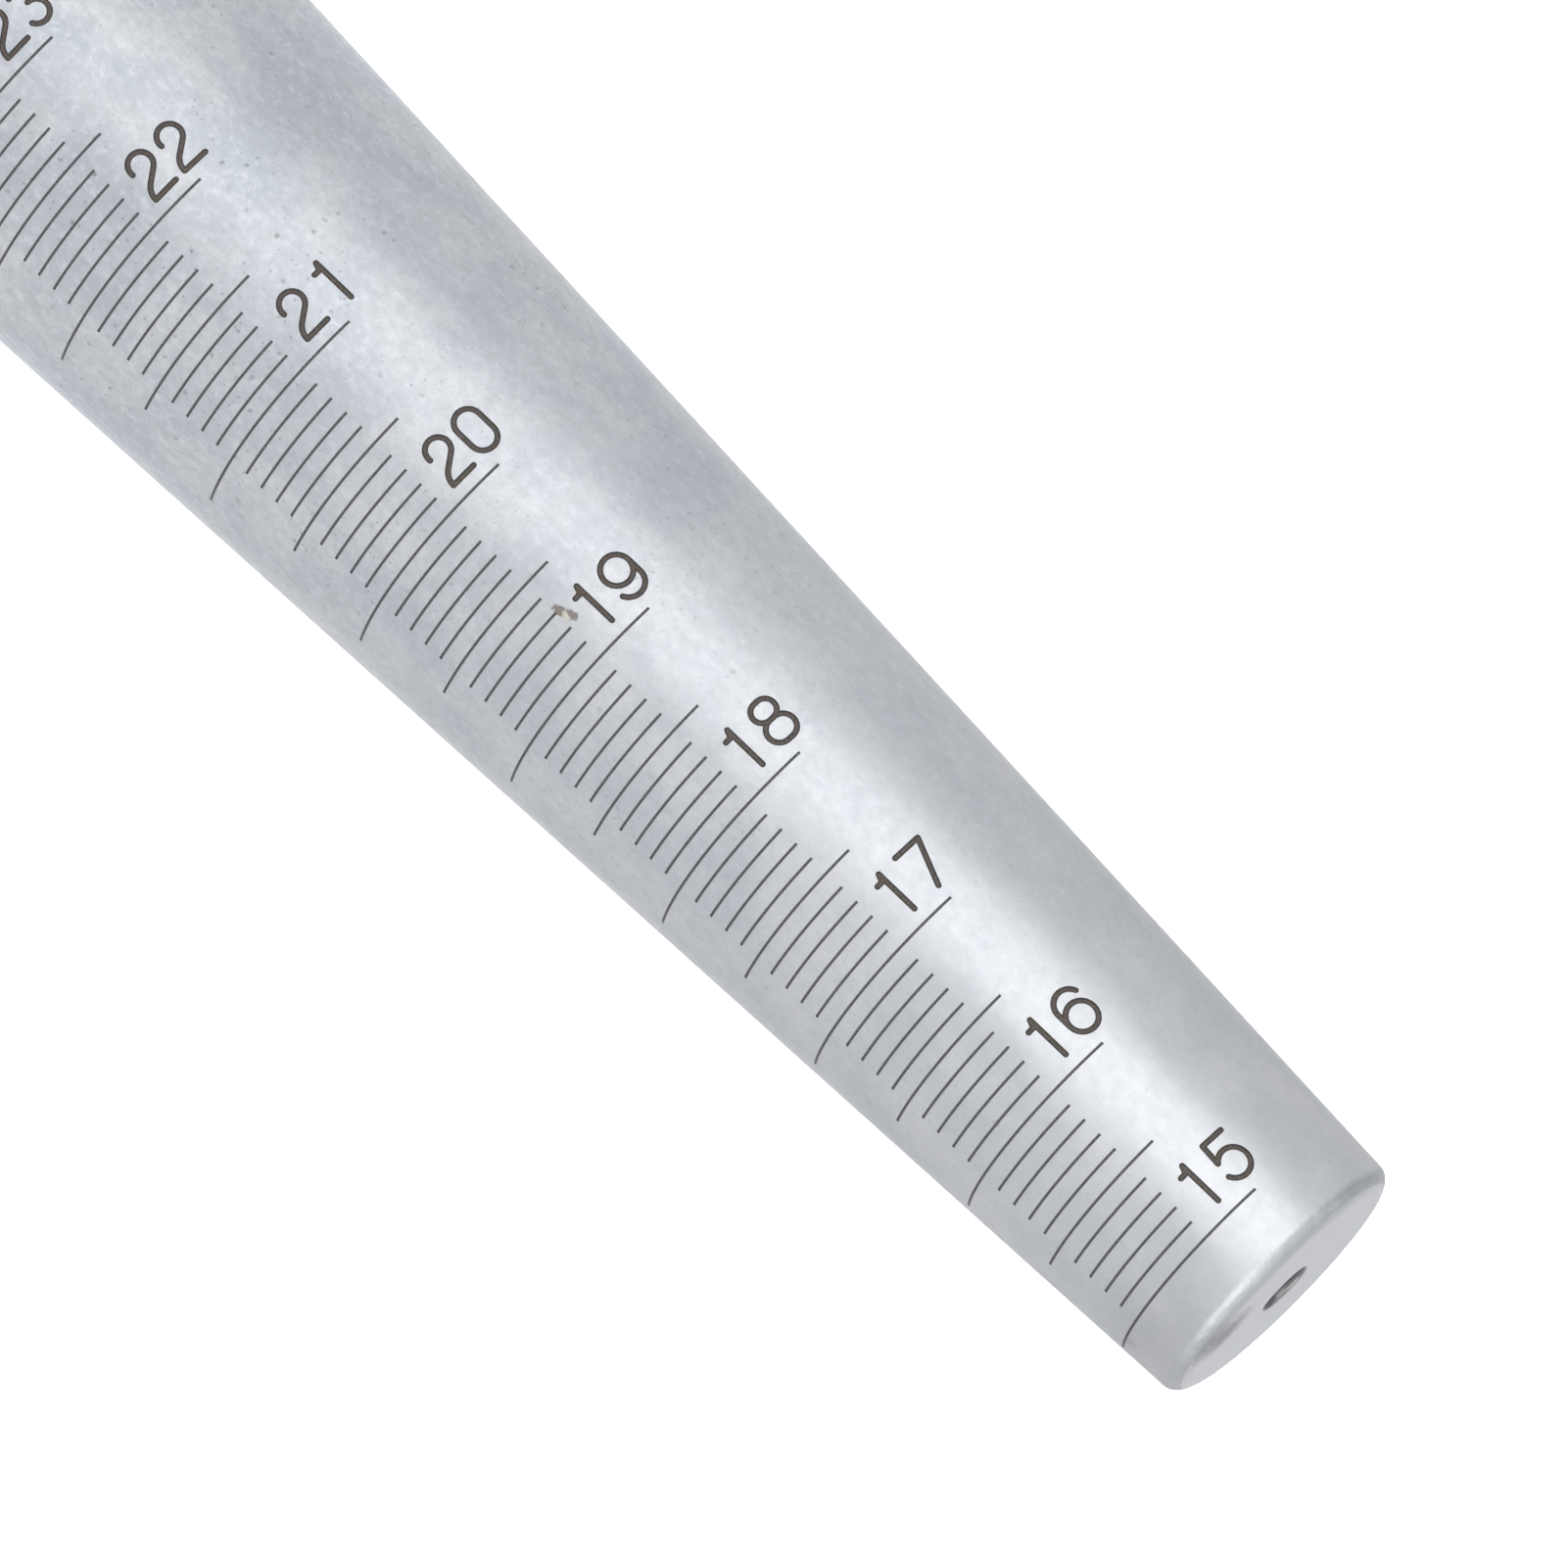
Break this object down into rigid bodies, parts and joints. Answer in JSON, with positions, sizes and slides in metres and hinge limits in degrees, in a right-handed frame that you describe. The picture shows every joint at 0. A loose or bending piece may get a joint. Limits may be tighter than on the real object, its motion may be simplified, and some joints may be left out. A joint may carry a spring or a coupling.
{
  "type": "ring mandrel",
  "caption": "Solid steel ring mandrel: a 1 in 10 round taper with an engraved inside-diameter scale from 15 to 30 mm and a bolted-on knurled grip with a flat foot.",
  "frame": {"origin": "centre of the flat foot of the handle, at the lowest point of the part", "axes": "+Z along the axis of the taper, from the handle to the small end; the scale faces -Y"},
  "size_m": [0.0306, 0.0306, 0.2224],
  "materials": {
    "taper_steel": "satin, finely mottled, with dark engraved marks",
    "handle_steel": "turned",
    "grip_steel": "diamond knurled",
    "blackened_steel": "black oxide",
    "spring_steel": "plain hardened",
    "ring_rubber": "matte",
    "plug_plastic": "fine grained"
  },
  "bodies": {
    "root": {"mandrel_body": "taper_steel", "front_collar": "handle_steel", "grip_sleeve": "grip_steel", "end_cap": "handle_steel", "clamp_screw": "blackened_steel", "spring_washer": "spring_steel", "grip_pin": "spring_steel", "front_o_ring": "ring_rubber", "rear_o_ring": "ring_rubber", "screw_plug": "plug_plastic"}
  },
  "joints": []
}
